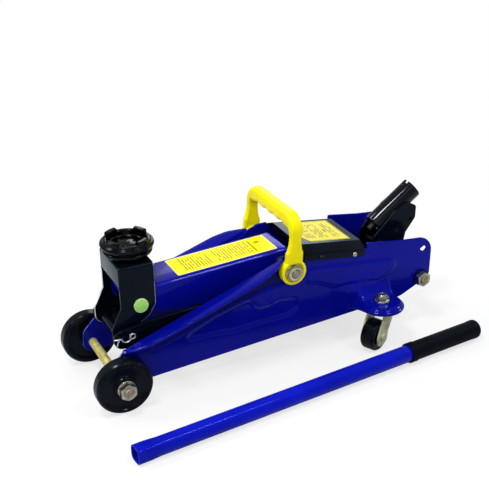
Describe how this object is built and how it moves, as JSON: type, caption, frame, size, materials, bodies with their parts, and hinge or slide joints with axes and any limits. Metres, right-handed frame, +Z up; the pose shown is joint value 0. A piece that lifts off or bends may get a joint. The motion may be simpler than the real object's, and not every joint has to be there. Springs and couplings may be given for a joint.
{
  "type": "hydraulic trolley jack",
  "caption": "Low steel trolley jack: pressed side plates on wheels and swivel casters, hinged lift arm with saddle, pump socket, folding grip and loose lever.",
  "frame": {"origin": "middle of the footprint of jack and lever, on the floor", "axes": "+X from the saddle end to the pump end, +Y to the jack's right, +Z up"},
  "size_m": [0.4596, 0.2496, 0.1814],
  "materials": {
    "blue_paint": "gloss powder coat",
    "black_paint": "gloss enamel",
    "black_wheel": "semi-gloss black enamel",
    "zinc_plate": "bright zinc plate",
    "yellow_zinc": "yellow chromate zinc plate",
    "bare_steel": "ground and oiled",
    "yellow_plastic": "moulded, satin",
    "green_cap": "lacquered pin",
    "red_plastic": "moulded",
    "black_rubber": "dipped sleeve"
  },
  "bodies": {
    "frame": {"side_plate_left": "blue_paint", "side_plate_right": "blue_paint", "axle_nut_left": "zinc_plate", "axle_nut_right": "zinc_plate", "pivot_nut_left": "zinc_plate", "pivot_nut_right": "zinc_plate", "link_stud_left": "bare_steel", "link_stud_right": "bare_steel", "rear_nut_left": "zinc_plate", "rear_nut_right": "zinc_plate", "front_cover_screw_left": "zinc_plate", "front_cover_screw_right": "zinc_plate", "rear_cover_screw_left": "zinc_plate", "rear_cover_screw_right": "zinc_plate", "caster_ear_left": "blue_paint", "caster_ear_right": "blue_paint", "caster_bolt_left": "zinc_plate", "caster_bolt_right": "zinc_plate", "front_axle": "yellow_zinc", "cross_tie": "blue_paint", "pivot_shaft": "bare_steel", "pump_block": "black_paint", "oil_tank": "black_paint", "ram_cylinder": "bare_steel", "tank_nut": "black_paint", "filler_plug": "red_plastic", "pump_spring": "bare_steel", "socket_bolt": "zinc_plate", "rear_bolt": "bare_steel", "cover_plate": "black_paint"},
    "front_wheel_left": {"front_wheel_left": "black_wheel"},
    "front_wheel_right": {"front_wheel_right": "black_wheel"},
    "lift_arm": {"lift_arm": "blue_paint", "crank_pin": "bare_steel"},
    "link_bars": {"link_bar_left": "black_paint", "link_bar_right": "black_paint"},
    "saddle_head": {"saddle_head": "black_paint", "arm_pin": "green_cap", "link_pin": "bare_steel", "spring_clip": "zinc_plate"},
    "saddle": {"saddle": "black_paint"},
    "ram": {"ram": "bare_steel", "ram_head": "bare_steel"},
    "handle_socket": {"handle_socket": "black_paint", "socket_yoke": "black_paint", "socket_roller": "bare_steel"},
    "pump_plunger": {"pump_plunger": "bare_steel"},
    "release_key": {"release_key": "bare_steel"},
    "release_valve": {"release_valve": "zinc_plate"},
    "carry_handle": {"carry_handle": "yellow_plastic"},
    "caster_left": {"caster_fork_left": "zinc_plate", "caster_axle_left": "zinc_plate"},
    "caster_right": {"caster_fork_right": "zinc_plate", "caster_axle_right": "zinc_plate"},
    "caster_wheel_left": {"caster_wheel_left": "black_wheel"},
    "caster_wheel_right": {"caster_wheel_right": "black_wheel"},
    "pump_lever": {"lever_tube": "blue_paint", "lever_grip": "black_rubber"}
  },
  "joints": [
    {"name": "front_wheel_left_spin", "type": "hinge", "parent": "frame", "child": "front_wheel_left", "pos_m": [-0.19831, -0.02397, 0.0315], "axis": [0, 1, 0], "continuous": true},
    {"name": "front_wheel_right_spin", "type": "hinge", "parent": "frame", "child": "front_wheel_right", "pos_m": [-0.19831, 0.08953, 0.0315], "axis": [0, 1, 0], "continuous": true},
    {"name": "lift", "type": "hinge", "parent": "frame", "child": "lift_arm", "pos_m": [0.00669, 0.03278, 0.115], "axis": [0, 1, 0], "range_deg": [-12, 60]},
    {"name": "link_swing", "type": "hinge", "parent": "frame", "child": "link_bars", "pos_m": [-0.01681, 0.03278, 0.081], "axis": [0, 1, 0], "range_deg": [-12, 60]},
    {"name": "head_level", "type": "hinge", "parent": "lift_arm", "child": "saddle_head", "pos_m": [-0.16381, 0.03278, 0.106], "axis": [0, 1, 0], "range_deg": [-60, 12]},
    {"name": "saddle_swivel", "type": "hinge", "parent": "saddle_head", "child": "saddle", "pos_m": [-0.16381, 0.03278, 0.16], "axis": [0, 0, 1], "continuous": true},
    {"name": "ram_stroke", "type": "slide", "parent": "frame", "child": "ram", "axis": [1, 0, 0], "range_m": [-0.0458, 0.0092]},
    {"name": "socket_pump", "type": "hinge", "parent": "frame", "child": "handle_socket", "pos_m": [0.14669, 0.03278, 0.098], "axis": [0, 1, 0], "range_deg": [-45, 15], "stiffness_Nm_per_rad": 0.6, "springref_deg": -11.46},
    {"name": "plunger_stroke", "type": "slide", "parent": "frame", "child": "pump_plunger", "axis": [0, 0, 1], "range_m": [-0.0053, 0.0158], "deforming": ["pump_spring"]},
    {"name": "release_turn", "type": "hinge", "parent": "handle_socket", "child": "release_key", "pos_m": [0.14779, 0.03278, 0.1239], "axis": [0.8049, 0, 0.5934], "range_deg": [0, 360]},
    {"name": "valve_turn", "type": "hinge", "parent": "frame", "child": "release_valve", "pos_m": [0.12769, 0.03278, 0.08], "axis": [0, 0, 1], "range_deg": [0, 360]},
    {"name": "carry_handle_fold", "type": "hinge", "parent": "frame", "child": "carry_handle", "pos_m": [0.00669, 0.03278, 0.115], "axis": [0, 1, 0], "range_deg": [-8, 55]},
    {"name": "caster_left_swivel", "type": "hinge", "parent": "frame", "child": "caster_left", "pos_m": [0.11769, -0.03322, 0.04], "axis": [0, 0, 1], "continuous": true},
    {"name": "caster_right_swivel", "type": "hinge", "parent": "frame", "child": "caster_right", "pos_m": [0.11769, 0.09878, 0.04], "axis": [0, 0, 1], "continuous": true},
    {"name": "caster_wheel_left_spin", "type": "hinge", "parent": "caster_left", "child": "caster_wheel_left", "pos_m": [0.10598, -0.03887, 0.0185], "axis": [0.4352, -0.9003, 0], "continuous": true},
    {"name": "caster_wheel_right_spin", "type": "hinge", "parent": "caster_right", "child": "caster_wheel_right", "pos_m": [0.10497, 0.10149, 0.0185], "axis": [-0.2079, -0.9781, 0], "continuous": true},
    {"name": "lever_lift_off", "type": "slide", "parent": "frame", "child": "pump_lever", "axis": [0, 0, 1], "range_m": [0, 0.1]}
  ],
  "couplings": [
    {"joint": "link_swing", "follows": "lift", "ratio": 1},
    {"joint": "head_level", "follows": "lift", "ratio": -1},
    {"joint": "ram_stroke", "follows": "lift", "m_per_rad": -0.04364},
    {"joint": "plunger_stroke", "follows": "socket_pump", "m_per_rad": -0.02},
    {"joint": "valve_turn", "follows": "release_turn", "ratio": 1}
  ]
}
